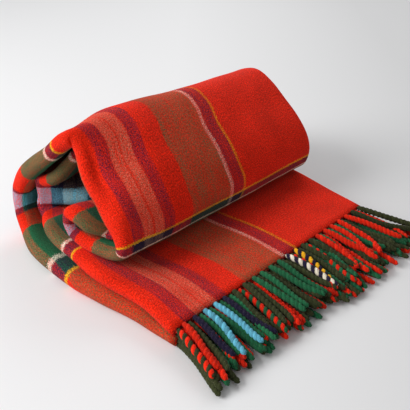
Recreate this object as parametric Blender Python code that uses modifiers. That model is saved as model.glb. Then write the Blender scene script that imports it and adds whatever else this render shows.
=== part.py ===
"""A travel rug, quartered lengthwise, doubled end to end and loosely rolled, with its fringed ends lying out.

Metres, +Z up. X runs from the roll towards the fringe, Y along the roll. The rug stands on Z = 0.
"""

import math
from collections import namedtuple

import bmesh
import bpy
import numpy as np

CLOTH = 0.0026            # thickness of the fulled wool cloth
LAYERS = 4                # the cloth is quartered, so each pack is four layers deep
PIECE_GAP = 0.0003        # between the cloth and the strip that carries its fringe
STEPS_PER_ROW = 24        # how finely the smooth route is worked out between two of its rows
EVENING = 13              # neighbouring steps over which the route's heading is evened out
BEND_PER_STEP = 0.43      # radians of turn between two sections of the cloth
RUN_PER_STEP = 0.062      # straight run between two sections of the cloth
TRIM = 0.005              # length of the woven strip that the fringe is knotted from

# Ranges in from the near fold: where the pack's rim thins to its body, where its shift at the near fold
# fades out, and where the raised end of the roll levels out.
SWELL = (0.010, 0.060)
LIFT = (0.012, 0.100)
SHOULDER = (0.050, 0.230)
FAR_DROP = 0.120          # from here on the roll sinks or rises to its far end's height

# The outer side of the doubled pack, from the lower fringed end, round the roll, to the upper one.
# x and z in the middle of the rug, near and far: where the two long edges lie along Y,
# rim and body: pack thickness at the near fold and in the middle, dx and dz: shift at the near fold,
# near_z and far_z: how much higher the two ends of the roll stand. All in millimetres.
Row = namedtuple("Row", "place x z near far rim body dx dz near_z far_z")
ROUTE = (
    Row("lower end",      0,   0.0,   0, 376, 14, 13.5,   0,  0,  0,  0),
    Row("lower run",    -60,   0.0,  -5, 378, 18, 14.0,   0,  0,  0,  0),
    Row("lower run",   -130,   0.0, -19, 384, 24, 14.4,   0,  0,  0,  0),
    Row("lower run",   -200,   0.0, -26, 388, 26, 14.8,   0,  0,  0,  0),
    Row("under roll",  -270,   0.0, -22, 390, 26, 15.2,   0,  0,  0,  0),
    Row("heel",        -315,  10.0,  -9, 390, 27, 15.8,   0,  0,  0,  0),
    Row("back",        -338,  36.0,  -2, 390, 29, 16.0,  -6,  0,  0,  0),
    Row("back",        -344,  68.0,   3, 390, 31, 16.0,  -9,  0,  0,  0),
    Row("back",        -334, 101.0,   8, 392, 29, 16.0,  -3,  0,  1,  0),
    Row("back",        -312, 131.0,  12, 394, 26, 16.0,   8, -6,  3, -1),
    Row("back",        -283, 158.0,  18, 396, 24, 16.0,  14, -9,  6, -2),
    Row("crown",       -254, 176.0,  26, 398, 23, 16.0,  10, -7,  9, -3),
    Row("crown",       -226, 181.5,  34, 399, 24, 16.0,   3, -4, 10, -3),
    Row("front",       -196, 171.0,  36, 400, 34, 16.0,  -7,-10,  9, -5),
    Row("front",       -166, 150.0,  31, 400, 42, 16.0, -12,-14,  6, -5),
    Row("front",       -140, 130.0,  28, 400, 41, 16.0, -13, -8,  3, -4),
    Row("front",       -121, 108.0,  24, 400, 31, 16.0, -10,  0,  0, -2),
    Row("front",       -112,  84.0,  22, 400, 21, 16.0,  -5,  6,  0,  0),
    Row("toe",         -112,  64.0,  18, 400, 19, 16.0,   4,  9,  0,  0),
    Row("toe",         -119,  47.0,  16, 400, 17, 16.0,   7, 10,  0,  0),
    Row("toe",         -136,  36.0,  13, 400, 17, 16.0,   6, 12,  0,  0),
    Row("sole",        -163,  32.0,   8, 398, 19, 16.0,   8, 14,  0,  0),
    Row("sole",        -196,  32.0,   3, 397, 20, 16.0,  10, 17,  0,  0),
    Row("core",        -217,  38.5,   2, 396, 17, 15.0,  10, 18,  0,  0),
    Row("core",        -225,  55.0,   3, 396, 17, 15.0,  10, 22,  0,  0),
    Row("core",        -217,  71.5,   6, 396, 17, 15.0,  10, 25,  0,  0),
    Row("inner floor", -197,  78.0,  16, 397, 17, 16.0,   8, 22,  0,  0),
    Row("inner floor", -174,  80.0,  44, 398, 16, 16.0,   2, 10,  0,  0),
    Row("inner front", -155,  90.0,  80, 399, 15, 15.5,  -4,  0,  0,  0),
    Row("inner front", -165, 105.0,  94, 399, 15, 15.5,  -5,  0,  1, -2),
    Row("inner front", -188, 119.5,  96, 399, 15, 15.5,  -5, -4,  3, -4),
    Row("inner crown", -210, 137.0,  82, 398, 16, 16.0,  -3, -8,  8, -4),
    Row("inner crown", -236, 142.0,  58, 397, 17, 16.0,   1,-13,  9, -3),
    Row("inner back",  -262, 127.0,  42, 395, 18, 16.0,  10,-15,  5, -2),
    Row("inner back",  -283, 108.0,  28, 393, 20, 16.0,  15,-14,  2, -1),
    Row("upper cleft", -294,  94.0,  23, 392, 17, 15.0,   4, -5,  0,  0),
    Row("pleat",       -281,  88.5,  24, 392, 15, 14.5,   0, -1,  0,  0),
    Row("pleat",       -264,  88.5,  25, 392, 14, 13.5,  -2, -1,  0,  0),
    Row("pleat tip",   -250,  82.5,  25, 392, 12.5, 12.5,  -3, -1,  0,  0),
    Row("pleat tip",   -243,  68.5,  25, 392, 12, 12.0,  -3,  0,  0,  0),
    Row("pleat tip",   -250,  54.5,  24, 392, 12.5, 12.5,  -3,  1,  0,  0),
    Row("pleat",       -264,  48.5,  22, 392, 14, 13.5,  -2,  1,  0,  0),
    Row("pleat",       -282,  48.0,  20, 392, 15, 14.0,   0,  1,  0,  0),
    Row("lower cleft", -295,  43.5,  16, 392, 18, 14.0,   6,  5,  0,  0),
    Row("inner heel",  -281,  36.0,   8, 394, 21, 14.0,   5, 11,  0,  0),
    Row("inner heel",  -258,  33.0,   0, 396, 21, 14.0,   0, 17,  0,  0),
    Row("upper run",   -225,  31.2,  -6, 397, 20, 14.0,   0, 17,  0,  0),
    Row("upper run",   -180,  30.4,  -8, 397, 20, 13.9,   0, 17,  0,  0),
    Row("upper run",   -130,  30.0,  -8, 392, 19, 13.7,   0, 13,  0,  0),
    Row("upper run",    -60,  29.2,   2, 382, 17, 13.6,   0,  8,  0,  0),
    Row("upper end",      0,  28.5,   0, 376, 14, 13.5,   0,  1,  0,  0),
)
MM = 0.001

COLOURS = {
    "wool": (0.62, 0.035, 0.012),
    "yarn_upper": (0.03, 0.16, 0.08),
    "yarn_lower": (0.33, 0.03, 0.02),
}
WOOL_ROUGHNESS = 0.95

# Across the rug, as shares of its folded width, where each layer has a point.
RUN_POINTS = (0.06, 0.145, 0.27, 1.0)
OUTER_TURN = 5            # faces round the near fold's outer cloth
INNER_TURN = 3            # faces round the cloth nested in it, and round the far fold
NEST_GAP = 0.0010         # between the nested cloth and the near fold round it
NEST_REACH = 1.6          # the nested fold's bulge, as a share of a half circle's
EDGE_STEP = 0.004         # how far the inner woven edges stop short of the far fold

FRINGE_LENGTH = 0.086
FRINGE_PITCH = 0.0155     # from one knotted strand to the next
STRAND_WIDTH = 0.0058
STRAND_HEIGHT = 0.0056
FIRST_STRAND = 0.75       # the first strand's place, as a share of the near fold's thickness
STAGGER = (0.25, 0.75)    # how much further on a row starts, in pitches, in turn
END_ROOM = 0.4            # clear of strands at the far side, in pitches
LENGTH_SPREAD = 0.005     # how much longer or shorter than the rest a strand may be
LENGTH_WAVE = (131.0, 2.1)   # radians of that spread per metre along the end, and per row
LENGTH_PER_ROW = 0.001    # each higher row of strands ends a little short of the one below
BED_PER_ROW = 0.0031      # the rows nest: each lies this much higher than the last
FLOOR_CLEAR = 0.0002      # the lowest strands' height over the surface that the rug lies on

# How far the tips fan out at the near and the far corner, and over which places along the end.
NEAR_FAN = 0.024
NEAR_CORNER = (-0.01, 0.09)
FAR_FAN = 0.020
FAR_CORNER = (0.28, 0.38)
# The clumps that handling leaves: how far they lean, radians per metre along the end, and phase.
CLUMPS = ((0.005, 41.0, 0.0), (0.001, 97.0, 1.3))

# A strand's rings from root to tip: how far along it, how far it has sunk to its bed, width and height.
STRAND_RINGS = (
    (-0.035, 0.0, 0.60, 0.30),
    (0.120, 1.0, 1.00, 1.00),
    (0.550, 1.0, 1.00, 1.00),
    (1.000, 1.0, 0.65, 1.00),
)


def smooth(low, high, value):
    """0 below low, 1 above high, and an even curve between them."""
    share = np.clip((value - low) / (high - low), 0.0, 1.0)
    return share * share * (3.0 - 2.0 * share)


def route_curve():
    """The route's rows joined by one smooth curve, finely sampled: an array with the Row's number columns."""
    rows = np.array([row[1:] for row in ROUTE], float) * MM
    span = np.sqrt(np.hypot(np.diff(rows[:, 0]), np.diff(rows[:, 1])))[:, None]
    slope = np.empty_like(rows)
    step = np.diff(rows, axis=0) / span
    slope[0], slope[-1] = step[0], step[-1]
    slope[1:-1] = (step[:-1] * span[1:] + step[1:] * span[:-1]) / (span[:-1] + span[1:])
    share = np.linspace(0.0, 1.0, STEPS_PER_ROW, endpoint=False)[:, None]
    pieces = []
    for i in range(len(rows) - 1):
        pieces.append((2 * share**3 - 3 * share**2 + 1) * rows[i]
                      + (share**3 - 2 * share**2 + share) * span[i] * slope[i]
                      + (3 * share**2 - 2 * share**3) * rows[i + 1]
                      + (share**3 - share**2) * span[i] * slope[i + 1])
    curve = np.concatenate(pieces + [rows[-1:]])
    curve[:, 1] = np.maximum(curve[:, 1], 0.0)
    return curve


def evened(values):
    """Each value as the mean of its neighbours, the ends kept."""
    padded = np.pad(values, EVENING // 2, mode="edge")
    return np.convolve(padded, np.full(EVENING, 1.0 / EVENING), mode="valid")


class Pack:
    """The four-layer pack all along the route: arrays with one value for each step of the smooth route."""

    def __init__(self):
        curve = route_curve()
        (self.x, self.z, self.near, self.far, self.rim, self.body, self.dx, self.dz,
         self.near_z, self.far_z) = curve.T
        self.width = self.far - self.near
        x_step, z_step = np.gradient(self.x), np.gradient(self.z)
        heading = evened(np.unwrap(np.arctan2(z_step, x_step)))
        for end in (0, -1):
            heading[end] = math.pi * round(heading[end] / math.pi)
        self.inward_x, self.inward_z = np.sin(heading), -np.cos(heading)
        cost = np.cumsum(np.hypot(x_step, z_step) / RUN_PER_STEP + np.abs(np.gradient(heading)) / BEND_PER_STEP)
        wanted = np.linspace(cost[0], cost[-1], int(round(cost[-1] - cost[0])) + 1)
        self.sections = np.searchsorted(cost, wanted[:-1]).tolist() + [len(cost) - 1]

    def thickness(self, y):
        """Depth of the four layers together, y in from the near fold."""
        return self.body + (self.rim - self.body) * (1.0 - smooth(*SWELL, y))

    def point(self, y, depth):
        """The points y in from the near fold and depth below the pack's outer side: steps by 3."""
        lift = 1.0 - smooth(*LIFT, y)
        shoulder = 1.0 - smooth(*SHOULDER, y)
        drop = smooth(FAR_DROP, self.width, y)
        x = self.x + self.dx * lift + self.inward_x * depth
        z = (self.z + self.dz * lift + self.inward_z * depth
             + self.near_z * shoulder + self.far_z * drop)
        return np.stack([x, self.near + y, z], axis=1)

    def layer_depth(self, layer, y):
        """How deep the middle of one layer lies; layer 0 is the outer one."""
        return CLOTH / 2 + layer * (self.thickness(y) - CLOTH) / (LAYERS - 1)

    def fold_reach(self, y):
        """How far the fold between two neighbouring layers bulges."""
        return NEST_REACH * (self.thickness(y) - CLOTH) / (LAYERS - 1) / 2

    def turn(self, first, last, y_end, reach, faces):
        """Points round a fold that joins two layers; reach is how far it bulges past y_end."""
        depths = [self.layer_depth(layer, y_end) for layer in (first, last)]
        middle, half = (depths[0] + depths[1]) / 2, (depths[1] - depths[0]) / 2
        angles = [math.pi * i / faces for i in range(1, faces)]
        return [self.point(y_end + reach * math.sin(angle), middle - half * math.cos(angle)) for angle in angles]

    def run(self, layer, y_low, y_high, outward):
        """Points of one layer between its two folds or edges; outward runs away from the near fold."""
        shares = (0.0, *RUN_POINTS) if outward else (*RUN_POINTS[::-1], 0.0)
        places = [y_low + (y_high - y_low) * share for share in shares]
        return [self.point(y, self.layer_depth(layer, y)) for y in places]

    def sheet(self):
        """The folded cloth's middle surface, from one woven edge to the other: sections by points by 3."""
        outer = self.thickness(0.0) / 2
        nest_reach, far_reach = self.fold_reach(0.0), self.fold_reach(self.width)
        nest = CLOTH + NEST_GAP + CLOTH / 2 + nest_reach
        far_fold = self.width - far_reach - CLOTH / 2
        lines = self.run(3, outer, self.width - EDGE_STEP, outward=False)
        lines += self.turn(3, 0, outer, CLOTH / 2 - outer, OUTER_TURN)
        lines += self.run(0, outer, far_fold, outward=True)
        lines += self.turn(0, 1, far_fold, far_reach, INNER_TURN)
        lines += self.run(1, nest, far_fold, outward=False)
        lines += self.turn(1, 2, nest, -nest_reach, INNER_TURN)
        lines += self.run(2, nest, self.width - 2 * EDGE_STEP, outward=True)
        return np.stack(lines, axis=1)[self.sections]


def make_material(name):
    """A plain rough wool finish in one colour."""
    material = bpy.data.materials.new(name)
    material.use_nodes = True
    shader = material.node_tree.nodes["Principled BSDF"]
    shader.inputs["Base Color"].default_value = (*COLOURS[name], 1.0)
    shader.inputs["Roughness"].default_value = WOOL_ROUGHNESS
    shader.inputs["Metallic"].default_value = 0.0
    return material


def sheet_object(name, rows, material, collection):
    """A flat cut of cloth as a grid, each of its points moved to its place in the rows, then given its thickness."""
    mesh = bpy.data.meshes.new(name)
    grid = bmesh.new()
    bmesh.ops.create_grid(grid, x_segments=len(rows) - 1, y_segments=len(rows[0]) - 1, size=0.5)
    for vertex in grid.verts:
        along = round((vertex.co.x + 0.5) * (len(rows) - 1))
        across = round((vertex.co.y + 0.5) * (len(rows[0]) - 1))
        vertex.co = rows[along][across]
    grid.to_mesh(mesh)
    grid.free()
    mesh.shade_smooth()
    mesh.materials.append(material)
    item = bpy.data.objects.new(name, mesh)
    collection.objects.link(item)
    wall = item.modifiers.new("cloth thickness", "SOLIDIFY")
    wall.thickness = CLOTH
    wall.offset = 0.0
    wall.use_even_offset = True
    return item


def sway(y):
    """How far the fringe's tips lean along Y at one place along the end."""
    fan = FAR_FAN * smooth(*FAR_CORNER, y) - NEAR_FAN * (1.0 - smooth(*NEAR_CORNER, y))
    return fan + sum(lean * math.sin(y * turns + phase) for lean, turns, phase in CLUMPS)


def strand(mesh, root, row):
    """One knotted strand: a three-sided bar, flat below, that leaves the strip level and sinks to its bed."""
    x, y, z = root
    wave = math.sin(LENGTH_WAVE[0] * y + LENGTH_WAVE[1] * row)
    length = FRINGE_LENGTH + LENGTH_SPREAD * wave - LENGTH_PER_ROW * row
    bed = FLOOR_CLEAR + STRAND_HEIGHT / 2 + row * BED_PER_ROW
    rings = []
    for reach, sunk, wide, high in STRAND_RINGS:
        lean = sway(y) * smooth(0.0, 1.0, reach)
        middle = (x + length * reach, y + lean, z + (bed - z) * sunk)
        rings.append([mesh.verts.new((middle[0], middle[1] + STRAND_WIDTH / 2 * wide * side,
                                      middle[2] + STRAND_HEIGHT / 2 * high * up))
                      for side, up in ((-1, -1), (1, -1), (0, 1))])
    mesh.faces.new(rings[0][::-1])
    mesh.faces.new(rings[-1])
    for start, end in zip(rings, rings[1:]):
        for i in range(len(start)):
            j = (i + 1) % len(start)
            mesh.faces.new((start[i], start[j], end[j], end[i]))


def build_fringe(name, pack, end, layer_rows, collection):
    """One rug end's strip, folded as the cloth is, and the strands knotted from it, joined into one body."""
    material = make_material("yarn_upper" if name == "fringe_upper" else "yarn_lower")
    folded_edge = pack.sheet()[end]
    strip = sheet_object(name, [[(reach, y, z) for _, y, z in folded_edge] for reach in (PIECE_GAP, TRIM)],
                         material, collection)
    mesh = bpy.data.meshes.new(name + "_strands")
    strands = bmesh.new()
    for layer, row in layer_rows:
        start = pack.thickness(0.0)[end] * FIRST_STRAND + FRINGE_PITCH * STAGGER[row % 2]
        for y in np.arange(start, pack.width[end] - FRINGE_PITCH * END_ROOM, FRINGE_PITCH):
            _, across, height = pack.point(y, pack.layer_depth(layer, y))[end]
            strand(strands, (TRIM, across, height), row)
    bmesh.ops.recalc_face_normals(strands, faces=strands.faces)
    strands.to_mesh(mesh)
    strands.free()
    mesh.materials.append(material)
    cutter = bpy.data.objects.new(name + "_strands", mesh)
    cutter.hide_render = True
    cutter.display_type = "WIRE"
    bpy.data.collections["joined to others"].objects.link(cutter)
    union = strip.modifiers.new("knotted strands", "BOOLEAN")
    union.operation = "UNION"
    union.object = cutter


def stand_on_origin(pieces, guides):
    """Moves everything so that the origin is under the middle of the pieces' box, at its lowest point."""
    graph = bpy.context.evaluated_depsgraph_get()
    points = []
    for piece in pieces:
        mesh = piece.evaluated_get(graph).to_mesh()
        flat = np.empty(3 * len(mesh.vertices), np.float32)
        mesh.vertices.foreach_get("co", flat)
        points.append(flat.reshape(-1, 3))
    low, high = np.concatenate(points).min(axis=0), np.concatenate(points).max(axis=0)
    for item in (*pieces, *guides):
        item.location = (-(low[0] + high[0]) / 2, -(low[1] + high[1]) / 2, -low[2])


def main():
    """Clears the scene and builds the rug and the fringes of its two ends."""
    for item in list(bpy.data.objects):
        bpy.data.objects.remove(item, do_unlink=True)
    collection = bpy.data.collections.new("travel rug")
    helpers = bpy.data.collections.new("joined to others")
    for group in (collection, helpers):
        bpy.context.scene.collection.children.link(group)
    pack = Pack()
    sheet_object("rug", pack.sheet().tolist(), make_material("wool"), collection)
    build_fringe("fringe_lower", pack, 0, ((0, 0), (1, 1), (2, 2), (3, 3)), collection)
    build_fringe("fringe_upper", pack, -1, ((3, 4), (2, 5), (1, 6), (0, 7)), collection)
    stand_on_origin(list(collection.objects), list(helpers.objects))


main()
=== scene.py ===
"""A tartan travel rug of fulled wool, quartered, doubled and loosely rolled, its twisted fringe lying out."""

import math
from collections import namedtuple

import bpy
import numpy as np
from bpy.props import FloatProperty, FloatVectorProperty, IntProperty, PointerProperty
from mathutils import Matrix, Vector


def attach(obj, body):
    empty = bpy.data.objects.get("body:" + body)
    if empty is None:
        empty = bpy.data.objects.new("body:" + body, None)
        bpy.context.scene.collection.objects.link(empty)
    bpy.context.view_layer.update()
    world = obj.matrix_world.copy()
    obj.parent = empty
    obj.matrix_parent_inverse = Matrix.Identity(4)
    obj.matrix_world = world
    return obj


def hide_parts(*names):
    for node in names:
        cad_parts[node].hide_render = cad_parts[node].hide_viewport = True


bl_info = {
    "name": "Rolled Travel Rug",
    "version": (1, 0, 0),
    "blender": (4, 5, 0),
    "location": "View3D > Sidebar > Travel Rug",
    "description": "Makes a rolled wool travel rug, its fringe and a plain studio round it",
    "category": "Add Mesh",
}

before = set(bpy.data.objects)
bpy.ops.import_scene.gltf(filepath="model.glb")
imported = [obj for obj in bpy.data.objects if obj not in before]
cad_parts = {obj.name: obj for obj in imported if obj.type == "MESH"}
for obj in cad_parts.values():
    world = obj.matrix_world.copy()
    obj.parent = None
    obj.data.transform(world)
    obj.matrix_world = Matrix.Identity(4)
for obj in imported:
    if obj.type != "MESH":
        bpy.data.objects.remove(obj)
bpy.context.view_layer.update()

MM = 0.001
ROOT_LINE = Vector((0.128509, -0.187441, 0.0))   # the near corner of the line that the fringe starts from

# The outer side of the doubled pack, from the lower fringed end, round the roll, to the upper one, in mm.
# x and z: its place in the middle of the rug. near and far: where the two long edges lie along Y.
# rim and body: the pack's thickness at the near fold and in the middle.
# dx and dz: how far the near fold is shifted. pinch: a further shift along X at its very rim.
# near_z and far_z: how much higher the two ends of the roll stand.
Row = namedtuple("Row", "place x z near far rim body dx dz near_z far_z pinch")
ROUTE = (
    Row("lower end",      0,   0.0,   0, 382, 14, 13.5,   0,  0,  0,  0,   0),
    Row("lower run",    -60,   0.0,  -5, 386, 18, 14.0,   0,  0,  0,  0,   0),
    Row("lower run",   -130,   0.0, -19, 390, 24, 14.4,   0,  0,  0,  0,   0),
    Row("lower run",   -200,   0.0, -26, 391, 26, 14.8,   0,  0,  0,  0,   0),
    Row("under roll",  -270,   0.0, -22, 390, 26, 15.2,   0,  0,  0,  0,   0),
    Row("heel",        -315,  10.0,  -9, 390, 27, 15.8,   0,  0,  0,  0,   0),
    Row("back",        -338,  36.0,  -2, 390, 29, 16.0,  -6,  0,  0,  0,   0),
    Row("back",        -344,  68.0,   3, 390, 31, 16.0,  -9,  0,  0,  0,   0),
    Row("back",        -334, 101.0,   8, 392, 29, 16.0,  -3,  0,  1,  0,   0),
    Row("back",        -312, 134.0,  12, 394, 26, 16.0,   8, -6,  3, -3,   0),
    Row("back",        -283, 162.5,  18, 396, 24, 16.0,  14, -9,  5, -6,   0),
    Row("crown",       -254, 182.0,  26, 398, 23, 16.0,  10, -7,  6, -8,   0),
    Row("crown",       -226, 188.5,  34, 399, 25, 16.0,   3, -4,  6, -9,   0),
    Row("front",       -196, 177.5,  36, 400, 34, 16.0,  -6, -9,  6,-10,   0),
    Row("front",       -166, 155.0,  31, 400, 48, 16.0, -15,-16,  5, -9,   0),
    Row("front",       -140, 133.0,  28, 400, 52, 16.0, -16, -9,  3, -6,   0),
    Row("front",       -121, 108.0,  24, 400, 40, 16.0, -13, -1,  0, -2,   0),
    Row("front",       -112,  84.0,  22, 400, 24, 16.0,  -8,  6,  0,  0,   0),
    Row("toe",         -112,  64.0,  18, 400, 19, 16.0,   4,  9,  0,  0,   0),
    Row("toe",         -119,  47.0,  16, 400, 17, 16.0,   7, 10,  0,  0,   0),
    Row("toe",         -136,  36.0,  13, 400, 17, 16.0,   6, 12,  0,  0,   0),
    Row("sole",        -163,  32.0,   8, 398, 19, 16.0,   8, 14,  0,  0,   0),
    Row("sole",        -196,  32.0,   3, 397, 20, 16.0,  10, 17,  0,  0,   0),
    Row("core",        -217,  38.5,   1, 396, 19, 15.0,  11, 19,  0,  0,   0),
    Row("core",        -225,  55.0,   0, 396, 19, 15.0,  11, 22,  0,  0,   0),
    Row("core",        -217,  71.5,   1, 396, 19, 15.0,  10, 26,  0,  0,   0),
    Row("inner floor", -197,  78.0,   3, 397, 19, 16.0,   8, 22,  0,  0,   0),
    Row("inner floor", -174,  80.0,  10, 398, 17, 16.0,  12,  7,  0,  0,   0),
    Row("inner front", -155,  90.0,  34, 399, 16, 16.0,   4,-10,  0,  0,   0),
    Row("inner front", -165, 105.0,  80, 399, 16, 16.0, -12,  6,  1, -2,   0),
    Row("inner front", -188, 124.0,  90, 399, 16, 16.0,  -8, -2,  3, -6,   0),
    Row("inner crown", -210, 142.0,  82, 398, 16, 16.0,  -3, -8,  6, -7,   0),
    Row("inner crown", -236, 148.0,  58, 397, 17, 16.0,   1,-13,  6, -7,   0),
    Row("inner back",  -262, 131.0,  42, 395, 18, 16.0,  10,-15,  4, -4,   0),
    Row("inner back",  -283, 108.0,  28, 393, 20, 16.0,  15,-14,  2, -1,   0),
    Row("upper cleft", -294,  94.0,  23, 392, 17, 15.0,   5, -8,  0,  0,   0),
    Row("pleat",       -281,  88.5,  24, 392, 15, 14.5,   2, -3,  0,  0, -21),
    Row("pleat",       -264,  88.5,  25, 392, 14, 14.0,   0, -8,  0,  0, -38),
    Row("pleat tip",   -250,  82.5,  25, 392, 14, 14.0,  -1, -8,  0,  0, -51),
    Row("pleat tip",   -243,  68.5,  25, 392, 14, 14.0,  -2, -2,  0,  0, -57),
    Row("pleat tip",   -250,  54.5,  24, 392, 14, 14.0,  -1,  5,  0,  0, -51),
    Row("pleat",       -264,  48.5,  22, 392, 14, 14.0,   0,  5,  0,  0, -38),
    Row("pleat",       -282,  48.0,  20, 392, 15, 14.0,   3,  1,  0,  0, -20),
    Row("lower cleft", -295,  43.5,  16, 392, 18, 14.0,   6,  5,  0,  0,   0),
    Row("inner heel",  -281,  36.0,   8, 394, 21, 14.0,   5, 11,  0,  0,   0),
    Row("inner heel",  -258,  33.0,   0, 396, 21, 14.0,   0, 17,  0,  0,   0),
    Row("upper run",   -225,  31.2,  -6, 398, 20, 14.0,   0, 17,  0,  0,   0),
    Row("upper run",   -180,  30.4,  -8, 398, 20, 13.9,   0, 17,  0,  0,   0),
    Row("upper run",   -130,  30.0,  -8, 396, 19, 13.7,   0, 13,  0,  0,   0),
    Row("upper run",    -60,  29.2,   2, 389, 17, 13.6,   0,  8,  0,  0,   0),
    Row("upper end",      0,  28.5,   0, 382, 14, 13.5,   0,  1,  0,  0,   0),
)

# Which millimetre of the woven length lies at which row of the route: borders of the check there.
WOVEN_AT_ROW = {
    0: 0, 2.6: 184, 4.75: 289, 5.65: 322, 5.95: 341, 7.05: 376, 7.2: 394, 8.35: 427, 10: 503, 10.5: 530,
    17.9: 718, 21.2: 820, 23.3: 888, 26.2: 957, 27.6: 1030, 28.2: 1060, 31.8: 1244,
    34.4: 1349, 35.6: 1383, 39: 1418, 43: 1453, 44.5: 1486, 46.4: 1562, 46.95: 1590, 50: 1776,
}

# How many millimetres the near fold slips off its warp thread at which row, where the front is pushed in.
SLIP_AT_ROW = {0: 30, 1.9: 30, 2.65: 6, 3.2: 0, 12: 0, 13.5: 11, 16: 11, 18: 0, 50: 0}

# Half of the check's repeat, from the middle of the light blue band to the middle of the wide red one, in mm.
SETT = (
    ("light_blue", 17.5), ("navy", 18.0), ("red", 33.0), ("green", 73.0),
    ("white", 5.5), ("navy", 21.5), ("yellow", 4.0), ("red", 92.5),
)

# How much of each yarn shows as warp, and how much warp shows between the threads of each weft yarn.
WARP_SHOWS = {"light_blue": 0.32, "navy": 0.80, "red": 0.62, "green": 0.70, "white": 0.50, "yellow": 0.60}
WEFT_OPENS = {"light_blue": 1.00, "navy": 0.60, "red": 0.60, "green": 0.36, "white": 0.60, "yellow": 0.30}
HALF_REPEAT = sum(width for _, width in SETT)
BLUE_ACROSS = 55.5        # mm from the near fold to the middle of the first light blue band
BLUE_ALONG = 358.0        # mm from the lower end to the middle of the first one across the length
END_BAND = 14.0           # mm at each end that keep the ground colour

LAYERS = 4
HALF_GAPS = 2 * (LAYERS - 1)    # half distances from the outermost layer's middle to the innermost one's
TOP_ROW = 7               # the fringe's rows are numbered from the floor up, four at each end of the cloth
STEPS_PER_ROW = 24        # points of the smooth curve from each row of the route to the next
EVENING = 13              # how many of them share the bends when the cloth's sections are placed
BEND_PER_STEP = 0.12      # radians of turn between two sections of the cloth
RUN_PER_STEP = 0.011      # straight run between two sections of the cloth
SOFTENING = np.array([1, 2, 3, 2, 1]) / 9

# Over which distances in from the near fold, in metres, the pack changes.
SWELL = (0.010, 0.060)    # from its rim's thickness to its body's
PINCH = (0.000, 0.045)    # from the pleat's pulled rim to its place
LIFT = (0.012, 0.100)     # from where the thick rims lift it to its place
SHOULDER = (0.050, 0.230)    # from the roll's higher near end to its middle
FAR_DROP = 0.120          # where the slope to the far end starts
SLIP_REACH = 0.110        # where the cloth's slip off its warp thread has ended

NEST_GAP = 0.0010         # between the nested cloth and the near fold round it
NEST_REACH = 1.6          # the nested fold's bulge, as a share of a half circle's
EDGE_STEP = 0.004         # how far the inner woven edges stop short of the far fold
EDGE_CROWDING = 1.35      # above 1, the points across a layer stand closer together by the near fold

# How many points each layer has across the rug, from the outer one to the innermost, and each fold.
POINTS_ACROSS = (54, 14, 14, 30)
OUTER_TURN = 14
INNER_TURN = 7


class YarnColours(bpy.types.PropertyGroup):
    """The dyed wool's colours."""

    red: FloatVectorProperty(
        name="Red", description="Ground of the check", subtype="COLOR",
        default=(0.78, 0.020, 0.0045), min=0, max=1)
    green: FloatVectorProperty(
        name="Green", description="Broad green bands", subtype="COLOR",
        default=(0.016, 0.125, 0.052), min=0, max=1)
    navy: FloatVectorProperty(
        name="Navy", description="Dark guard bands", subtype="COLOR",
        default=(0.018, 0.014, 0.040), min=0, max=1)
    light_blue: FloatVectorProperty(
        name="Light blue", description="Middle band", subtype="COLOR",
        default=(0.13, 0.46, 0.62), min=0, max=1)
    heather: FloatVectorProperty(
        name="Heather", description="Light blue warp as it shows under a red nap", subtype="COLOR",
        default=(0.46, 0.36, 0.23), min=0, max=1)
    white: FloatVectorProperty(
        name="White", description="Fine light stripe", subtype="COLOR",
        default=(0.78, 0.70, 0.56), min=0, max=1)
    yellow: FloatVectorProperty(
        name="Yellow", description="Fine bright stripe", subtype="COLOR",
        default=(0.80, 0.40, 0.012), min=0, max=1)
    dark_green: FloatVectorProperty(
        name="Dark green", description="Second ply in red strands", subtype="COLOR",
        default=(0.040, 0.048, 0.018), min=0, max=1)


class ClothSettings(bpy.types.PropertyGroup):
    """The woven cloth."""

    width: FloatProperty(
        name="Width", description="Woven width, flat", default=1.5, min=1.0, max=2.0, unit="LENGTH")
    length: FloatProperty(
        name="Length", description="Woven length without fringe, flat", default=1.776, min=1.0, max=2.5,
        unit="LENGTH")
    thickness: FloatProperty(
        name="Thickness", description="Fulled thickness", default=0.0028, min=0.001, max=0.004, unit="LENGTH")
    rumple: FloatProperty(
        name="Rumple", description="Height of the soft waves left by handling", default=0.0011, min=0.0,
        max=0.004, unit="LENGTH")
    weave: FloatProperty(
        name="Twill pitch", description="Distance between twill lines", default=0.0024, min=0.001, max=0.006,
        unit="LENGTH")


class FringeSettings(bpy.types.PropertyGroup):
    """The twisted fringe."""

    length: FloatProperty(
        name="Length", description="Length of a strand", default=0.086, min=0.03, max=0.15, unit="LENGTH")
    pitch: FloatProperty(
        name="Pitch", description="Distance between strands", default=0.0170, min=0.005, max=0.03,
        unit="LENGTH")
    radius: FloatProperty(
        name="Radius", description="Radius of a strand over its plies", default=0.0046, min=0.001, max=0.006,
        unit="LENGTH")
    twist: FloatProperty(
        name="Twist", description="Length of one full turn of the plies", default=0.0125, min=0.005, max=0.05,
        unit="LENGTH")
    steps: IntProperty(name="Steps", description="Rings along a strand", default=46, min=6, max=60)


class StudioSettings(bpy.types.PropertyGroup):
    """Floor, lights and camera."""

    floor_colour: FloatVectorProperty(
        name="Floor", description="Pale floor", subtype="COLOR", default=(0.86, 0.862, 0.87), min=0, max=1)
    key_power: FloatProperty(
        name="Key light", description="Power of the large soft light", default=46.0, min=0, max=500,
        unit="POWER")
    fill_strength: FloatProperty(
        name="Fill", description="Strength of the even light from all round", default=0.38, min=0, max=5)
    lens: FloatProperty(
        name="Lens", description="Focal length", default=54.2, min=20, max=200, subtype="DISTANCE_CAMERA")


def smooth(low, high, value):
    """0 below low, 1 above high, and an even curve between them."""
    share = np.clip((value - low) / (high - low), 0.0, 1.0)
    return share * share * (3.0 - 2.0 * share)


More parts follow.
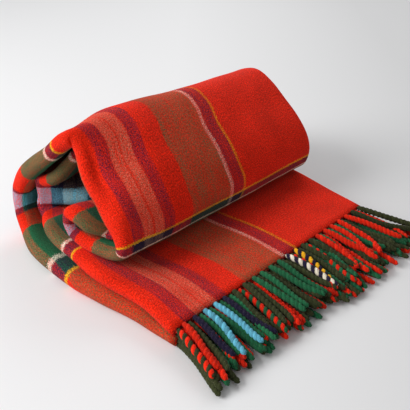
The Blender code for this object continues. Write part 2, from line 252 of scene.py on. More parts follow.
def route_curve():
    """The route's rows joined by one smooth curve, and the row number at each of its points."""
    rows = np.array([row[1:] for row in ROUTE], float) * MM
    span = np.sqrt(np.hypot(np.diff(rows[:, 0]), np.diff(rows[:, 1])))[:, None]
    slope = np.empty_like(rows)
    step = np.diff(rows, axis=0) / span
    slope[0], slope[-1] = step[0], step[-1]
    slope[1:-1] = (step[:-1] * span[1:] + step[1:] * span[:-1]) / (span[:-1] + span[1:])
    share = np.linspace(0.0, 1.0, STEPS_PER_ROW, endpoint=False)[:, None]
    pieces = []
    for i in range(len(rows) - 1):
        pieces.append((2 * share**3 - 3 * share**2 + 1) * rows[i]
                      + (share**3 - 2 * share**2 + share) * span[i] * slope[i]
                      + (3 * share**2 - 2 * share**3) * rows[i + 1]
                      + (share**3 - share**2) * span[i] * slope[i + 1])
    curve = np.concatenate(pieces + [rows[-1:]])
    curve[:, 1] = np.maximum(curve[:, 1], 0.0)
    return curve, np.linspace(0.0, len(rows) - 1, len(curve))


class Pack:
    """The four-layer pack at every section along the route, as arrays with one value for each section."""

    def __init__(self):
        curve, row_number = route_curve()
        along = np.gradient(curve[:, :2], axis=0)
        heading = np.unwrap(np.arctan2(along[:, 1], along[:, 0]))
        turned = np.abs(np.gradient(heading))
        turned = np.pad(turned, EVENING // 2, mode="edge")
        turned = np.convolve(turned, np.full(EVENING, 1 / EVENING), mode="valid")
        cost = np.cumsum(np.hypot(along[:, 0], along[:, 1]) / RUN_PER_STEP + turned / BEND_PER_STEP)
        cost -= cost[0]
        picks = np.linspace(0.0, cost[-1], int(round(cost[-1])) + 1)
        (self.x, self.z, self.near, self.far, self.rim, self.body, self.dx, self.dz, self.near_z,
         self.far_z, self.pinch) = (np.interp(picks, cost, column) for column in curve.T)
        rows = np.interp(picks, cost, row_number)
        self.woven, self.slip = (np.interp(rows, list(table), list(table.values())) * MM
                                 for table in (WOVEN_AT_ROW, SLIP_AT_ROW))
        self.width = self.far - self.near

    def thickness(self, y):
        """Depth of the four layers together, y in from the near fold."""
        return self.body + (self.rim - self.body) * (1.0 - smooth(*SWELL, y))

    def point(self, y, depth):
        """The points y in from the near fold and depth below the pack's outer side: sections by 3."""
        lift = 1.0 - smooth(*LIFT, y)
        shoulder = 1.0 - smooth(*SHOULDER, y)
        drop = smooth(FAR_DROP, self.width, y)
        x = self.x + self.dx * lift + self.pinch * (1.0 - smooth(*PINCH, y))
        z = self.z + self.dz * lift + self.near_z * shoulder + self.far_z * drop
        heading = np.unwrap(np.arctan2(np.gradient(z), np.gradient(x)))
        heading = np.convolve(np.pad(heading, len(SOFTENING) // 2, mode="edge"), SOFTENING, mode="valid")
        return np.stack([x + np.sin(heading) * depth, self.near + y, z - np.cos(heading) * depth], axis=1)

    def layer_depth(self, layer, y, cloth):
        """How deep the middle of one layer lies; layer 0 is the outer one."""
        return cloth / 2 + layer * (self.thickness(y) - cloth) / (LAYERS - 1)

    def turn(self, first, last, y_end, reach, faces, cloth):
        """Points round a fold that joins two layers; reach is how far it bulges past y_end."""
        depths = [self.layer_depth(layer, y_end, cloth) for layer in (first, last)]
        middle, half = (depths[0] + depths[1]) / 2, (depths[1] - depths[0]) / 2
        return [self.point(y_end + reach * math.sin(math.pi * i / faces),
                           middle - half * math.cos(math.pi * i / faces)) for i in range(1, faces)]

    def run(self, layer, y_low, y_high, outward, cloth):
        """Points of one layer between its two folds or edges; outward runs away from the near fold."""
        shares = np.linspace(0.0, 1.0, POINTS_ACROSS[layer]) ** EDGE_CROWDING
        columns = []
        for share in shares if outward else shares[::-1]:
            y = y_low + (y_high - y_low) * share
            columns.append(self.point(y, self.layer_depth(layer, y, cloth)))
        return columns

    def sheet(self, cloth):
        """The folded cloth's middle surface, sections by points by 3, and which column is the near fold."""
        outer = self.thickness(0.0) / 2
        nest_reach = NEST_REACH * (self.thickness(0.0) - cloth) / HALF_GAPS
        nest = cloth * 1.5 + NEST_GAP + nest_reach
        far_reach = NEST_REACH * (self.thickness(self.width) - cloth) / HALF_GAPS
        far_fold = self.width - far_reach - cloth / 2
        columns = self.run(3, outer, self.width - EDGE_STEP, False, cloth)
        near_fold = len(columns) - 1 + OUTER_TURN // 2
        columns += self.turn(3, 0, outer, cloth / 2 - outer, OUTER_TURN, cloth)
        columns += self.run(0, outer, far_fold, True, cloth)
        columns += self.turn(0, 1, far_fold, far_reach, INNER_TURN, cloth)
        columns += self.run(1, nest, far_fold, False, cloth)
        columns += self.turn(1, 2, nest, -nest_reach, INNER_TURN, cloth)
        columns += self.run(2, nest, self.width - 2 * EDGE_STEP, True, cloth)
        return np.stack(columns, axis=1), near_fold


# How dull wool is, and the soft sheen of its fibre ends.
WOOL_SPECULAR = 0.06
WOOL_SHEEN = 0.06
SHEEN_ROUGHNESS = 0.5
SHEEN_TINT = (1.0, 0.86, 0.80, 1.0)

# Even noise lies mostly in this range.
NOISE_RANGE = (0.3, 0.7)

# How many waves each pattern of the cloth has in a metre.
TUFT_SCALE = 760.0
HAIR_SCALE = 620.0
SPECK_SCALE = 520.0
STREAK_SCALE = 170.0
CLOUD_SCALE = 26.0
ALONG_HAIR = (1.0, 0.22, 1.0)      # hairs and streaks are drawn out along the length
ALONG_STREAK = (1.0, 0.16, 1.0)

# The cloth's face. A range is from the noise at which a thing starts to the noise at which it is full.
FRAY = 0.013              # metres of the noise that frays the borders of the stripes
MIDDLE_THREADS = (0.0006, 0.0022)  # half width and edge of the red threads in the light blue band's middle
MIDDLE_SHOWS = 0.20       # how much of the light blue shows there
STREAKS = (1.3, 3.4)      # how unevenly the warp comes through, from streak to streak
TUFT_RANGE = (0.35, 0.65)
TUFT_GAPS = (0.95, -0.23)    # how wide the gaps stand between low tufts, and how shut between high ones
TWILL_GAPS = 0.12         # how far the twill lines open and shut them
HAIR_COLOUR = (0.85, 0.42, 0.28, 1.0)
HAIR_PALENESS = 0.18
HAIR_RANGE = (0.60, 0.82)
HAIR_COVER = 0.5
CLOUD_TONES = (0.88, 1.10)
SPECK_RANGE = (0.34, 0.66)
SPECK_TONES = (0.48, 1.46)
HAIR_RELIEF = 0.6         # heights in the nap, as shares of the tufts'
TWILL_RELIEF = 0.05
NAP_STRENGTH = 0.60
NAP_DEPTH = 0.0016
CLOTH_ROUGHNESS = 0.96

# The yarn's fibres, fuzz, and the painted shade that darkens the groove between its plies.
FUZZ_SCALE = 900.0
FUZZ_REACH = 0.35         # how far fuzz of one ply crosses the groove, as a share of a ply's width
PLY_BORDER = 0.12
FIBRES_ALONG = 260.0
FIBRES_ROUND = 7.0
FIBRE_TONES = (0.70, 1.30)
# Painted shade in the groove between the plies: how far it reaches round the strand, and how dark it is.
GROOVE_SHADE_WIDTH = 0.45
GROOVE_SHADE_TONE = 0.68
FUZZ_COLOUR = (0.62, 0.56, 0.40, 1.0)
FUZZ_PALENESS = 0.45
FUZZ_RANGE = (0.60, 0.78)
FUZZ_COVER = 0.6
YARN_STRENGTH = 0.7
YARN_DEPTH = 0.0010
YARN_ROUGHNESS = 0.95


class Graph:
    """A material's node tree, with short calls for the nodes that the finishes use."""

    def __init__(self, name):
        self.material = bpy.data.materials.new(name)
        self.material.use_nodes = True
        self.tree = self.material.node_tree
        self.shader = self.tree.nodes["Principled BSDF"]

    def node(self, kind, inputs=(), **settings):
        """A node with its settings made and its inputs set or linked."""
        made = self.tree.nodes.new(kind)
        for name, value in settings.items():
            setattr(made, name, value)
        for key, value in dict(inputs).items():
            if isinstance(value, bpy.types.NodeSocket):
                self.tree.links.new(value, made.inputs[key])
            else:
                made.inputs[key].default_value = value
        return made

    def math(self, operation, *values):
        """One step of arithmetic."""
        return self.node("ShaderNodeMath", dict(enumerate(values)), operation=operation).outputs[0]

    def noise(self, vector, scale, detail=2.0, roughness=0.5):
        """Even noise of the given scale."""
        return self.node("ShaderNodeTexNoise", {
            "Vector": vector, "Scale": scale, "Detail": detail, "Roughness": roughness}).outputs["Fac"]

    def ranged(self, value, low, high, to_low=0.0, to_high=1.0):
        """Value from low to high, brought to to_low to to_high and held there."""
        made = self.node("ShaderNodeMapRange", {
            "Value": value, "From Min": low, "From Max": high, "To Min": to_low, "To Max": to_high})
        return made.outputs[0]

    def even(self, value, to_low, to_high):
        """Noise brought to to_low to to_high."""
        return self.ranged(value, *NOISE_RANGE, to_low, to_high)

    def blend(self, share, first, second, mode="MIX"):
        """Two colours mixed."""
        made = self.node("ShaderNodeMix", data_type="RGBA", blend_type=mode)
        for key, value in ((0, share), (6, first), (7, second)):
            if isinstance(value, bpy.types.NodeSocket):
                self.tree.links.new(value, made.inputs[key])
            else:
                made.inputs[key].default_value = value
        return made.outputs[2]

    def scaled(self, vector, scale):
        """A vector stretched by three factors."""
        return self.node("ShaderNodeVectorMath", {0: vector, 1: scale}, operation="MULTIPLY").outputs[0]

    def bump(self, height, strength, distance):
        """Height shown as relief."""
        return self.node("ShaderNodeBump", {
            "Height": height, "Strength": strength, "Distance": distance}).outputs["Normal"]

    def toned(self, colour, tone):
        """A colour made darker or lighter by a factor."""
        factor = self.node("ShaderNodeCombineXYZ", {axis: tone for axis in range(3)})
        return self.blend(1.0, colour, factor.outputs[0], "MULTIPLY")

    def finish(self, colour, normal, roughness):
        """Wool's shader: matt, with a soft sheen of fibre ends."""
        self.tree.links.new(colour, self.shader.inputs["Base Color"])
        self.tree.links.new(normal, self.shader.inputs["Normal"])
        self.shader.inputs["Roughness"].default_value = roughness
        self.shader.inputs["Specular IOR Level"].default_value = WOOL_SPECULAR
        self.shader.inputs["Sheen Weight"].default_value = WOOL_SHEEN
        self.shader.inputs["Sheen Roughness"].default_value = SHEEN_ROUGHNESS
        self.shader.inputs["Sheen Tint"].default_value = SHEEN_TINT
        return self.material


def stripes(graph, distance, colours, is_warp):
    """The check's colour, and how much it shows or opens, at a distance from its light blue band's middle."""
    share = graph.math("DIVIDE", distance, HALF_REPEAT * MM)
    ramp = graph.node("ShaderNodeValToRGB", {"Fac": share})
    ramp.color_ramp.interpolation = "CONSTANT"
    elements = ramp.color_ramp.elements
    place = 0.0
    shares = WARP_SHOWS if is_warp else WEFT_OPENS
    for i, (name, width) in enumerate(SETT):
        element = elements[i] if i < 2 else elements.new(place)
        element.position = place
        seen = "heather" if is_warp and name == "light_blue" else name
        element.color = (*getattr(colours, seen), shares[name])
        place += width / HALF_REPEAT
    return ramp.outputs


def cloth_material(colours, weave, length):
    """Fulled twill: warp and weft stripes crossing, mottled where they differ, under a short nap."""
    graph = Graph("fulled_tartan_wool")
    place = graph.node("ShaderNodeUVMap", uv_map="woven").outputs[0]
    split = graph.node("ShaderNodeSeparateXYZ", {0: place})
    fray = graph.node("ShaderNodeTexNoise", {
        "Vector": place, "Scale": TUFT_SCALE, "Detail": 3.0, "Roughness": 0.7})
    shift = graph.node("ShaderNodeVectorMath", {0: fray.outputs["Color"], 1: (0.5, 0.5, 0.5)},
                       operation="SUBTRACT").outputs[0]
    shift = graph.node("ShaderNodeSeparateXYZ", {0: graph.scaled(shift, (FRAY, FRAY, 0.0))})
    drawn = []
    for axis, middle in ((0, BLUE_ACROSS), (1, BLUE_ALONG)):
        at = graph.math("ADD", split.outputs[axis], shift.outputs[axis])
        if axis == 1:
            at = graph.math("MAXIMUM", at, END_BAND * MM)
            at = graph.math("MINIMUM", at, length - END_BAND * MM)
        at = graph.math("SUBTRACT", at, middle * MM)
        distance = graph.math("PINGPONG", at, HALF_REPEAT * MM)
        drawn.append((distance, *stripes(graph, distance, colours, axis == 0)))
    (from_blue, warp, shows), (_, weft, opens) = drawn
    shows = graph.math("MULTIPLY", shows, graph.ranged(from_blue, *MIDDLE_THREADS, MIDDLE_SHOWS, 1.0))

    diagonal = graph.math("ADD", split.outputs[0], split.outputs[1])
    twill = graph.math("SINE", graph.math("MULTIPLY", diagonal, 2 * math.pi / weave))
    tufts = graph.noise(place, TUFT_SCALE, detail=2.0, roughness=0.55)
    streaks = graph.even(graph.noise(graph.scaled(place, ALONG_STREAK), STREAK_SCALE, detail=3.0), *STREAKS)
    gap = graph.ranged(tufts, *TUFT_RANGE, *TUFT_GAPS)
    gap = graph.math("ADD", gap, graph.math("MULTIPLY", twill, TWILL_GAPS))
    gap = graph.math("MULTIPLY", graph.ranged(gap, 0.0, 1.0), graph.math("MULTIPLY", shows, opens))
    colour = graph.blend(graph.ranged(graph.math("MULTIPLY", gap, streaks), 0.0, 1.0), weft, warp)

    hair = graph.noise(graph.scaled(place, ALONG_HAIR), HAIR_SCALE, detail=2.0)
    pale = graph.blend(HAIR_PALENESS, colour, HAIR_COLOUR)
    colour = graph.blend(graph.ranged(hair, *HAIR_RANGE, 0.0, HAIR_COVER), colour, pale)
    clouds = graph.even(graph.noise(place, CLOUD_SCALE, detail=4.0), *CLOUD_TONES)
    specks = graph.noise(place, SPECK_SCALE, detail=3.0, roughness=0.7)
    specks = graph.ranged(specks, *SPECK_RANGE, *SPECK_TONES)
    colour = graph.toned(colour, graph.math("MULTIPLY", clouds, specks))
    nap = graph.math("ADD", tufts, graph.math("MULTIPLY", hair, HAIR_RELIEF))
    nap = graph.math("ADD", nap, graph.math("MULTIPLY", twill, TWILL_RELIEF))
    return graph.finish(colour, graph.bump(nap, NAP_STRENGTH, NAP_DEPTH), CLOTH_ROUGHNESS)


def yarn_material():
    """Two-ply wool yarn: each ply in its own colour, with fibres that run round it, and painted shade in the
    groove between the plies.
    """
    graph = Graph("twisted_wool_yarn")
    plies = [graph.node("ShaderNodeAttribute", attribute_name=name).outputs["Color"]
             for name in ("ply_a", "ply_b")]
    lobe = graph.node("ShaderNodeAttribute", attribute_name="lobe").outputs["Fac"]
    along = graph.node("ShaderNodeAttribute", attribute_name="along").outputs["Fac"]
    place = graph.node("ShaderNodeTexCoord").outputs["Object"]
    fuzz = graph.noise(place, FUZZ_SCALE, detail=3.0, roughness=0.6)
    edge = graph.math("ADD", lobe, graph.even(fuzz, -FUZZ_REACH, FUZZ_REACH))
    colour = graph.blend(graph.ranged(edge, -PLY_BORDER, PLY_BORDER), plies[0], plies[1])
    fibre_place = graph.node("ShaderNodeCombineXYZ", {
        0: graph.math("MULTIPLY", along, FIBRES_ALONG), 1: graph.math("MULTIPLY", lobe, FIBRES_ROUND)})
    fibre = graph.noise(fibre_place.outputs[0], 1.0, detail=3.0, roughness=0.6)
    # Painted shade: the colour is darkened in the groove between the two plies.
    groove_shade = graph.ranged(graph.math("ABSOLUTE", lobe), 0.0, GROOVE_SHADE_WIDTH, GROOVE_SHADE_TONE, 1.0)
    colour = graph.toned(colour, graph.math("MULTIPLY", graph.even(fibre, *FIBRE_TONES), groove_shade))
    pale = graph.blend(FUZZ_PALENESS, colour, FUZZ_COLOUR)
    colour = graph.blend(graph.ranged(fuzz, *FUZZ_RANGE, 0.0, FUZZ_COVER), colour, pale)
    relief = graph.bump(graph.math("ADD", fibre, fuzz), YARN_STRENGTH, YARN_DEPTH)
    return graph.finish(colour, relief, YARN_ROUGHNESS)


FLOOR_SHADE_FADE = (-0.1, 0.7)  # painted shade: where the floor starts to grow greyer, towards +X and +Y, and where it has
FLOOR_SHADE_GREY = 0.80
FLOOR_ROUGHNESS = 0.6


def floor_material(colour):
    """The floor's plain finish, with painted shade that makes it a little greyer towards +X and +Y, away from
    the key light.
    """
    graph = Graph("pale_floor")
    place = graph.node("ShaderNodeSeparateXYZ", {0: graph.node("ShaderNodeTexCoord").outputs["Object"]})
    # Painted shade: the floor's colour grows greyer towards +X and +Y, standing in for the key light's
    # falloff.
    aside = graph.math("ADD", place.outputs[0], place.outputs[1])
    shade = graph.ranged(aside, *FLOOR_SHADE_FADE)
    greyer = [value * FLOOR_SHADE_GREY for value in colour]
    shown = graph.blend(shade, (*colour, 1.0), (*greyer, 1.0))
    graph.tree.links.new(shown, graph.shader.inputs["Base Color"])
    graph.shader.inputs["Roughness"].default_value = FLOOR_ROUGHNESS
    return graph.material


def grid_faces(rows, columns):
    """Corner numbers of the quads of a grid of points."""
    first = (np.arange(rows - 1)[:, None] * columns + np.arange(columns - 1)[None, :]).ravel()
    return np.stack([first, first + columns, first + columns + 1, first + 1], axis=1)


def mesh_object(name, points, faces, material):
    """An object at the origin whose mesh holds the points and faces."""
    mesh = bpy.data.meshes.new(name)
    mesh.from_pydata(points.tolist(), [], faces.tolist())
    mesh.shade_smooth()
    mesh.materials.append(material)
    item = bpy.data.objects.new(name, mesh)
    bpy.context.scene.collection.objects.link(item)
    return item


# Waves left by handling, in radians a metre: across the cloth, along it and aslant.
# Each has its rate, how far the other way bends it and at what rate, and its share of the height.
Wave = namedtuple("Wave", "rate bend bend_rate share")
ACROSS_WAVE = Wave(31.0, 2.2, 9.0, 0.45)
ALONG_WAVE = Wave(47.0, 1.7, 15.0, 0.35)
ASLANT_WAVE = Wave(83.0, 0.0, 0.0, 0.20)

# The hollow where the flap's near fold is pressed in: its depth, where it is and how wide, in metres.
DENT_DEPTH = 0.009
DENT_ALONG = 0.618
DENT_LENGTH = 0.032
DENT_ACROSS = 0.011
DENT_WIDTH = 0.012


def rumpled(surface, across, woven, height):
    """The surface with the soft, low waves that handling and the roll's own slack leave in it."""
    step_a = np.gradient(surface, axis=0)
    step_b = np.gradient(surface, axis=1)
    normal = np.cross(step_a, step_b)
    normal /= np.maximum(np.linalg.norm(normal, axis=2, keepdims=True), 1e-12)
    wave = ASLANT_WAVE.share * np.sin((across + woven) * ASLANT_WAVE.rate)
    for made, first, second in ((ACROSS_WAVE, across, woven), (ALONG_WAVE, woven, across)):
        wave += made.share * np.sin(first * made.rate + made.bend * np.sin(second * made.bend_rate))
    from_dent = ((woven - DENT_ALONG) / DENT_LENGTH)**2 + ((across - DENT_ACROSS) / DENT_WIDTH)**2
    dent = DENT_DEPTH * np.exp(-from_dent)
    return surface + normal * (wave * height - dent)[:, :, None]


class RUG_OT_cloth(bpy.types.Operator):
    """Makes the folded and rolled cloth"""

    bl_idname = "rug.cloth"
    bl_label = "Cloth"

    def execute(self, context):
        settings = context.scene.rug_cloth
        pack = Pack()
        surface, near_fold = pack.sheet(settings.thickness)
        steps = np.linalg.norm(np.diff(surface, axis=1), axis=2)
        across = np.concatenate([np.zeros((len(surface), 1)), np.cumsum(steps, axis=1)], axis=1)
        across -= across[:, near_fold:near_fold + 1]
        across -= pack.slip[:, None] * (1.0 - smooth(0.0, SLIP_REACH, np.abs(across)))
        woven = np.repeat(pack.woven[:, None], surface.shape[1], axis=1)
        surface = rumpled(surface, across, woven, settings.rumple)
        surface[:, :, 2] = np.maximum(surface[:, :, 2], settings.thickness / 2)
        faces = grid_faces(*surface.shape[:2])
        cloth = mesh_object("rug_cloth", (surface + np.array(ROOT_LINE)).reshape(-1, 3), faces,
                            cloth_material(context.scene.rug_yarn, settings.weave, settings.length))
        layer = cloth.data.uv_layers.new(name="woven")
        layer.data.foreach_set("uv", np.stack([across.ravel(), woven.ravel()], axis=1)[faces.ravel()].ravel())
        wall = cloth.modifiers.new("cloth thickness", "SOLIDIFY")
        wall.thickness = settings.thickness
        wall.offset = 0.0
        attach(cloth, "root")
        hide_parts("rug")
        return {"FINISHED"}


# How often a strand of one colour is plied with dark green.
PLIED = {"red": 0.07, "navy": 0.3, "light_blue": 0.10, "white": 0.5, "yellow": 0.8, "dark_green": 0.0}
DARK_STRANDS = 0.30       # share of the red warp's strands that are dark green in both plies
PLY_APART = 2.5           # mm from a strand's middle to where each of its plies leaves the cloth
PLY_TONES = (0.75, 1.25)


def sett_colour(across):
    """The name of the check's colour across mm from the near fold."""
    distance = abs((across - BLUE_ACROSS + HALF_REPEAT) % (2 * HALF_REPEAT) - HALF_REPEAT)
    for name, width in SETT:
        distance -= width
        if distance <= 0:
            return name
    return SETT[-1][0]


def ply_colours(across, on_top, colours, random):
    """The colours of a strand's two plies: the warp on either side of it, red often plied with dark green."""
    names = [sett_colour(across - PLY_APART), sett_colour(across + PLY_APART)]
    if not on_top:
        names = [name if name in ("red", "green") else "dark_green" for name in names]
    if names == ["red", "red"] and random.random() < DARK_STRANDS:
        names = ["dark_green", "dark_green"]
    if names[0] == names[1] and names[0] != "green" and random.random() < PLIED[names[0]]:
        names[1] = "dark_green"
    plies = []
    for name in names:
        tone = random.uniform(*PLY_TONES)
        plies.append([value * tone for value in getattr(colours, name)] + [1.0])
    return plies if random.random() < 0.5 else plies[::-1]


# How far the tips lean along Y: away from the cloth's two long edges, and to and fro between them.
NEAR_FAN = 0.024
NEAR_CORNER = (-0.01, 0.09)
FAR_FAN = 0.012
FAR_CORNER = (0.28, 0.38)
CLUMPS = ((0.006, 41.0, 0.0), (0.002, 97.0, 1.3))    # lean, radians a metre, phase


def sway(y):
    """How far the fringe's tips lean along Y, in the clumps that handling leaves."""
    lean = FAR_FAN * smooth(*FAR_CORNER, y) - NEAR_FAN * (1.0 - smooth(*NEAR_CORNER, y))
    for reach, rate, phase in CLUMPS:
        lean += reach * math.sin(y * rate + phase)
    return lean


# A strand's line, in metres.
LINE_POINTS = 9
LENGTH_SHARES = (0.86, 1.06)
LENGTH_PER_ROW = 0.0008   # how much shorter each row is than the one below it
FAR_LENGTH = (0.016, 0.004)    # how much further the lower and the upper end's strands reach at the far side
FAR_SIDE = (0.10, 0.26)
WILD_SIDE = (0.22, 0.34)  # where along the end the strands grow less orderly
WILDNESS = 1.3
LEAN_SPREAD = 0.0055
LEAN_POWER = 1.5
CURL = (0.0010, 0.0040)
CURL_TURN = 5.0           # radians along a strand
HUMP = 0.0022
BED_PER_ROW = 0.0019      # how much higher the tips of each row lie
BED_SPREAD = 0.0012
FALL = (0.05, 0.85)       # over which share of its length a strand comes down
ROOT_CLEAR = 0.55         # lowest middle line at the root and past it, as shares of a strand's radius
BODY_CLEAR = 0.42
ROOT_SHARE = 0.15


def strand_line(root, row, settings, random):
    """A strand's centre line: out of the cloth's edge, over the strands below, and down to its tip."""
    share = np.linspace(0.0, 1.0, LINE_POINTS)
    length = settings.length * random.uniform(*LENGTH_SHARES) - LENGTH_PER_ROW * row
    length += FAR_LENGTH[row // LAYERS] * smooth(*FAR_SIDE, root[1])
    wild = 1.0 + WILDNESS * smooth(*WILD_SIDE, root[1])
    lean = sway(root[1]) + random.normal(0.0, LEAN_SPREAD) * wild
    curl = random.uniform(*CURL) * wild
    phase = random.uniform(0.0, 2 * math.pi)
    hump = random.uniform(0.0, HUMP) * (row / TOP_ROW)
    tip = settings.radius + row * BED_PER_ROW + random.uniform(0.0, BED_SPREAD)
    x = root[0] + length * share
    curled = curl * (np.sin(phase + share * CURL_TURN) - math.sin(phase)) * share
    y = root[1] + lean * share**LEAN_POWER + curled
    z = root[2] + (tip - root[2]) * smooth(*FALL, share) + hump * np.sin(math.pi * share)
    lowest = settings.radius * (ROOT_CLEAR + BODY_CLEAR * smooth(0.0, ROOT_SHARE, share))
    return np.stack([x, y, np.maximum(z, lowest)], axis=1)


def curve_object(name, lines, colours):
    """Open strings of points as a wire mesh, with each strand's two ply colours on its points."""
    count = len(lines[0])
    edges = [(i * count + j, i * count + j + 1) for i in range(len(lines)) for j in range(count - 1)]
    mesh = bpy.data.meshes.new(name)
    mesh.from_pydata(np.concatenate(lines).tolist(), edges, [])
    for ply, key in enumerate(("ply_a", "ply_b")):
        attribute = mesh.attributes.new(key, "FLOAT_COLOR", "POINT")
        values = np.repeat(np.array([pair[ply] for pair in colours]), count, axis=0)
        attribute.data.foreach_set("color", values.ravel())
    item = bpy.data.objects.new(name, mesh)
    bpy.context.scene.collection.objects.link(item)
    return item


STRAND_SIDES = 10

# A strand's radius along its length, and its two plies' bulge: shares of the full radius.
TAPER_ENDS = (0.52, 0.42)
TAPER = ((0.10, 0.86), (0.45, 0.98), (0.85, 0.95), (0.96, 0.78))
PLY_BULGE = 0.24


def strand_tree(settings):
    """Geometry nodes that twist two plies along each strand of a wire mesh."""
    tree = bpy.data.node_groups.new("twisted strands", "GeometryNodeTree")
    tree.interface.new_socket("Geometry", in_out="INPUT", socket_type="NodeSocketGeometry")
    for name, kind, value in (
            ("Radius", "NodeSocketFloat", settings.radius), ("Twist", "NodeSocketFloat", settings.twist),
            ("Steps", "NodeSocketInt", settings.steps), ("Sides", "NodeSocketInt", STRAND_SIDES)):
        tree.interface.new_socket(name, in_out="INPUT", socket_type=kind).default_value = value
    tree.interface.new_socket("Material", in_out="INPUT", socket_type="NodeSocketMaterial")
    tree.interface.new_socket("Geometry", in_out="OUTPUT", socket_type="NodeSocketGeometry")

    def add(kind, inputs=(), **settings):
        made = tree.nodes.new(kind)
        for key, value in settings.items():
            setattr(made, key, value)
        for key, value in dict(inputs).items():
            if isinstance(value, bpy.types.NodeSocket):
                tree.links.new(value, made.inputs[key])
            else:
                made.inputs[key].default_value = value
        return made

    given = add("NodeGroupInput")
    line = add("GeometryNodeMeshToCurve", {0: given.outputs["Geometry"]})
    kind = add("GeometryNodeCurveSplineType", {"Curve": line.outputs[0]}, spline_type="CATMULL_ROM")
    fine = add("GeometryNodeResampleCurve", {"Curve": kind.outputs[0], "Count": given.outputs["Steps"]})
    place = add("GeometryNodeSplineParameter")
    stored = add("GeometryNodeStoreNamedAttribute", {
        "Geometry": fine.outputs[0], "Name": "along", "Value": place.outputs["Length"]}, data_type="FLOAT")
    turns = add("ShaderNodeMath", {0: place.outputs["Length"], 1: given.outputs["Twist"]}, operation="DIVIDE")
    angle = add("ShaderNodeMath", {0: turns.outputs[0], 1: 2 * math.pi}, operation="MULTIPLY")
    tilted = add("GeometryNodeSetCurveTilt", {"Curve": stored.outputs[0], "Tilt": angle.outputs[0]})
    taper = add("ShaderNodeFloatCurve", {"Value": place.outputs["Factor"]})
    points = taper.mapping.curves[0].points
    for i in range(2):
        points[i].location = (float(i), TAPER_ENDS[i])
    for at in TAPER:
        points.new(*at)
    taper.mapping.update()
    radius = add("ShaderNodeMath", {0: taper.outputs[0], 1: given.outputs["Radius"]}, operation="MULTIPLY")
    sized = add("GeometryNodeSetCurveRadius", {"Curve": tilted.outputs[0], "Radius": radius.outputs[0]})
    circle = add("GeometryNodeCurvePrimitiveCircle", {"Resolution": given.outputs["Sides"], "Radius": 1.0})
    where = add("GeometryNodeInputPosition")
    split = add("ShaderNodeSeparateXYZ", {0: where.outputs[0]})
    lobed = add("GeometryNodeStoreNamedAttribute", {
        "Geometry": circle.outputs[0], "Name": "lobe", "Value": split.outputs[0]}, data_type="FLOAT")
    bulge = add("ShaderNodeMath", {0: split.outputs[0]}, operation="ABSOLUTE")
    bulge = add("ShaderNodeMath", {0: bulge.outputs[0], 1: PLY_BULGE, 2: 1.0 - PLY_BULGE},
                operation="MULTIPLY_ADD")
    shape = add("ShaderNodeVectorMath", {0: where.outputs[0], "Scale": bulge.outputs[0]}, operation="SCALE")
    profile = add("GeometryNodeSetPosition", {"Geometry": lobed.outputs[0], "Position": shape.outputs[0]})
    tube = add("GeometryNodeCurveToMesh", {
        "Curve": sized.outputs[0], "Profile Curve": profile.outputs[0], "Fill Caps": True})
    if "Scale" in tube.inputs:
        tree.links.new(radius.outputs[0], tube.inputs["Scale"])
    shaded = add("GeometryNodeSetShadeSmooth", {"Geometry": tube.outputs[0], "Shade Smooth": True})
    real = add("GeometryNodeRealizeInstances", {"Geometry": shaded.outputs[0]})
    done = add("GeometryNodeSetMaterial", {
        "Geometry": real.outputs[0], "Material": given.outputs["Material"]})
    add("NodeGroupOutput", {0: done.outputs[0]})
    return tree


def baked(item, tree, inputs):
    """A plain mesh object of what the tree makes of the item, which it takes the place of."""
    maker = item.modifiers.new("maker", "NODES")
    maker.node_group = tree
    for socket in tree.interface.items_tree:
        if socket.in_out == "INPUT" and socket.name in inputs:
            maker[socket.identifier] = inputs[socket.name]
    graph = bpy.context.evaluated_depsgraph_get()
    mesh = bpy.data.meshes.new_from_object(item.evaluated_get(graph), depsgraph=graph)
    name = item.name
    bpy.data.objects.remove(item, do_unlink=True)
    mesh.name = name
    made = bpy.data.objects.new(name, mesh)
    bpy.context.scene.collection.objects.link(made)
    return made


FIRST_STRAND = 0.004      # how far in from the near fold and the far one the strands start and end
LAST_STRAND = 0.003
PITCH_SHARES = (0.25, 0.75)    # where even and odd rows start, as shares of the pitch
PITCH_SPREAD = 0.0009

# Each end's strands: its name, which section of the pack it is, its slot, its seed for what is random,
# and which layer of the cloth each of its rows comes out of, from the floor up.
ENDS = (
    ("fringe_lower", 0, "fringe_yarn_lower", 5, ((0, 0), (1, 1), (2, 2), (3, 3))),
    ("fringe_upper", -1, "fringe_yarn_upper", 11, ((3, 4), (2, 5), (1, 6), (0, 7))),
)


class RUG_OT_fringe(bpy.types.Operator):
    """Makes the twisted fringe of both ends"""

    bl_idname = "rug.fringe"
    bl_label = "Fringe"

    def execute(self, context):
        settings = context.scene.rug_fringe
        cloth = context.scene.rug_cloth.thickness
        pack = Pack()
        material = yarn_material()
        tree = strand_tree(settings)
        for name, end, slot, seed, layer_rows in ENDS:
            random = np.random.default_rng(seed)
            lines, colours = [], []
            width = pack.width[end]
            for layer, row in layer_rows:
                start = FIRST_STRAND + settings.pitch * PITCH_SHARES[row % 2]
                for y in np.arange(start, width - LAST_STRAND, settings.pitch):
                    y += random.normal(0.0, PITCH_SPREAD)
                    at = pack.point(y, pack.layer_depth(layer, y, cloth))[end]
                    lines.append(strand_line(at, row, settings, random) + np.array(ROOT_LINE))
                    across = {0: y, 1: 2 * width - y, 2: 2 * width + y, 3: -y}[layer] / MM
                    colours.append(ply_colours(across, row == TOP_ROW, context.scene.rug_yarn, random))
            strands = baked(curve_object(name + "_yarn", lines, colours), tree, {
                "Radius": settings.radius, "Twist": settings.twist, "Steps": settings.steps,
                "Sides": STRAND_SIDES, "Material": material})
            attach(strands, "root")
            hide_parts(name)
        return {"FINISHED"}


FLOOR_REACH = 4.0

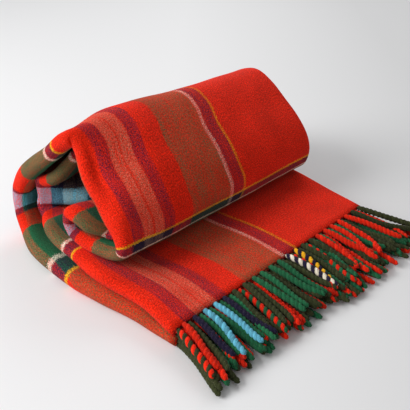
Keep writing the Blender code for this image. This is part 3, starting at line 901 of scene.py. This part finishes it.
# Each light's name, place, aim, size, and share of the key light's power.
LIGHTS = (
    ("key_light", (-0.98, -1.60, 1.30), (-0.05, 0.0, 0.05), 1.3, 1.0),
    ("back_light", (-1.0, 1.6, 1.6), (0.0, 0.0, 0.05), 1.2, 0.32),
)
CAMERA_FROM_ROOT = Vector((0.392, -0.340, 0.518))
CAMERA_TURN = 45.0        # degrees round Z, and looking down
CAMERA_DOWN = 31.9
SENSOR_WIDTH = 36.0


class RUG_OT_studio(bpy.types.Operator):
    """Makes the floor, the lights and the camera"""

    bl_idname = "rug.studio"
    bl_label = "Studio"

    def execute(self, context):
        settings = context.scene.rug_studio
        scene = context.scene
        corners = FLOOR_REACH * np.array([(-1, -1, 0), (1, -1, 0), (1, 1, 0), (-1, 1, 0)])
        floor = mesh_object("floor", corners, np.array([[0, 1, 2, 3]]),
                            floor_material(settings.floor_colour))
        for name, place, aim, size, share in LIGHTS:
            light = bpy.data.lights.new(name, "AREA")
            light.size = size
            light.energy = settings.key_power * share
            lamp = bpy.data.objects.new(name, light)
            scene.collection.objects.link(lamp)
            lamp.location = place
            lamp.rotation_euler = (Vector(aim) - Vector(place)).to_track_quat("-Z", "Y").to_euler()
        world = bpy.data.worlds.new("studio_air")
        world.use_nodes = True
        world.node_tree.nodes["Background"].inputs["Color"].default_value = (1.0, 1.0, 1.0, 1.0)
        world.node_tree.nodes["Background"].inputs["Strength"].default_value = settings.fill_strength
        scene.world = world
        camera = bpy.data.cameras.new("camera")
        camera.lens = settings.lens
        camera.sensor_width = SENSOR_WIDTH
        camera.clip_start = 0.01
        viewer = bpy.data.objects.new("camera", camera)
        scene.collection.objects.link(viewer)
        viewer.location = ROOT_LINE + CAMERA_FROM_ROOT
        viewer.rotation_euler = (math.radians(90.0 - CAMERA_DOWN), 0.0, math.radians(CAMERA_TURN))
        scene.camera = viewer
        scene.view_settings.view_transform = "Standard"
        return {"FINISHED"}


class RUG_PT_panel(bpy.types.Panel):
    """The rug's sizes and the buttons that make it"""

    bl_label = "Travel Rug"
    bl_idname = "RUG_PT_panel"
    bl_space_type = "VIEW_3D"
    bl_region_type = "UI"
    bl_category = "Travel Rug"

    def draw(self, context):
        for operator, group in OPERATORS:
            self.layout.operator(operator)
            settings = getattr(context.scene, group)
            for key in settings.__annotations__:
                self.layout.prop(settings, key)
        for key in context.scene.rug_yarn.__annotations__:
            self.layout.prop(context.scene.rug_yarn, key)


OPERATORS = (("rug.cloth", "rug_cloth"), ("rug.fringe", "rug_fringe"), ("rug.studio", "rug_studio"))
GROUPS = {
    "rug_yarn": YarnColours,
    "rug_cloth": ClothSettings,
    "rug_fringe": FringeSettings,
    "rug_studio": StudioSettings,
}
CLASSES = (*GROUPS.values(), RUG_OT_cloth, RUG_OT_fringe, RUG_OT_studio, RUG_PT_panel)


def register():
    """Adds the settings, the operators and the panel."""
    for item in CLASSES:
        bpy.utils.register_class(item)
    for name, group in GROUPS.items():
        setattr(bpy.types.Scene, name, PointerProperty(type=group))


def unregister():
    """Takes them away again."""
    for name in GROUPS:
        delattr(bpy.types.Scene, name)
    for item in reversed(CLASSES):
        bpy.utils.unregister_class(item)


def main():
    """Makes the rug and its studio."""
    register()
    for operator, _ in OPERATORS:
        category, name = operator.split(".")
        getattr(getattr(bpy.ops, category), name)()


if __name__ == "__main__":
    main()
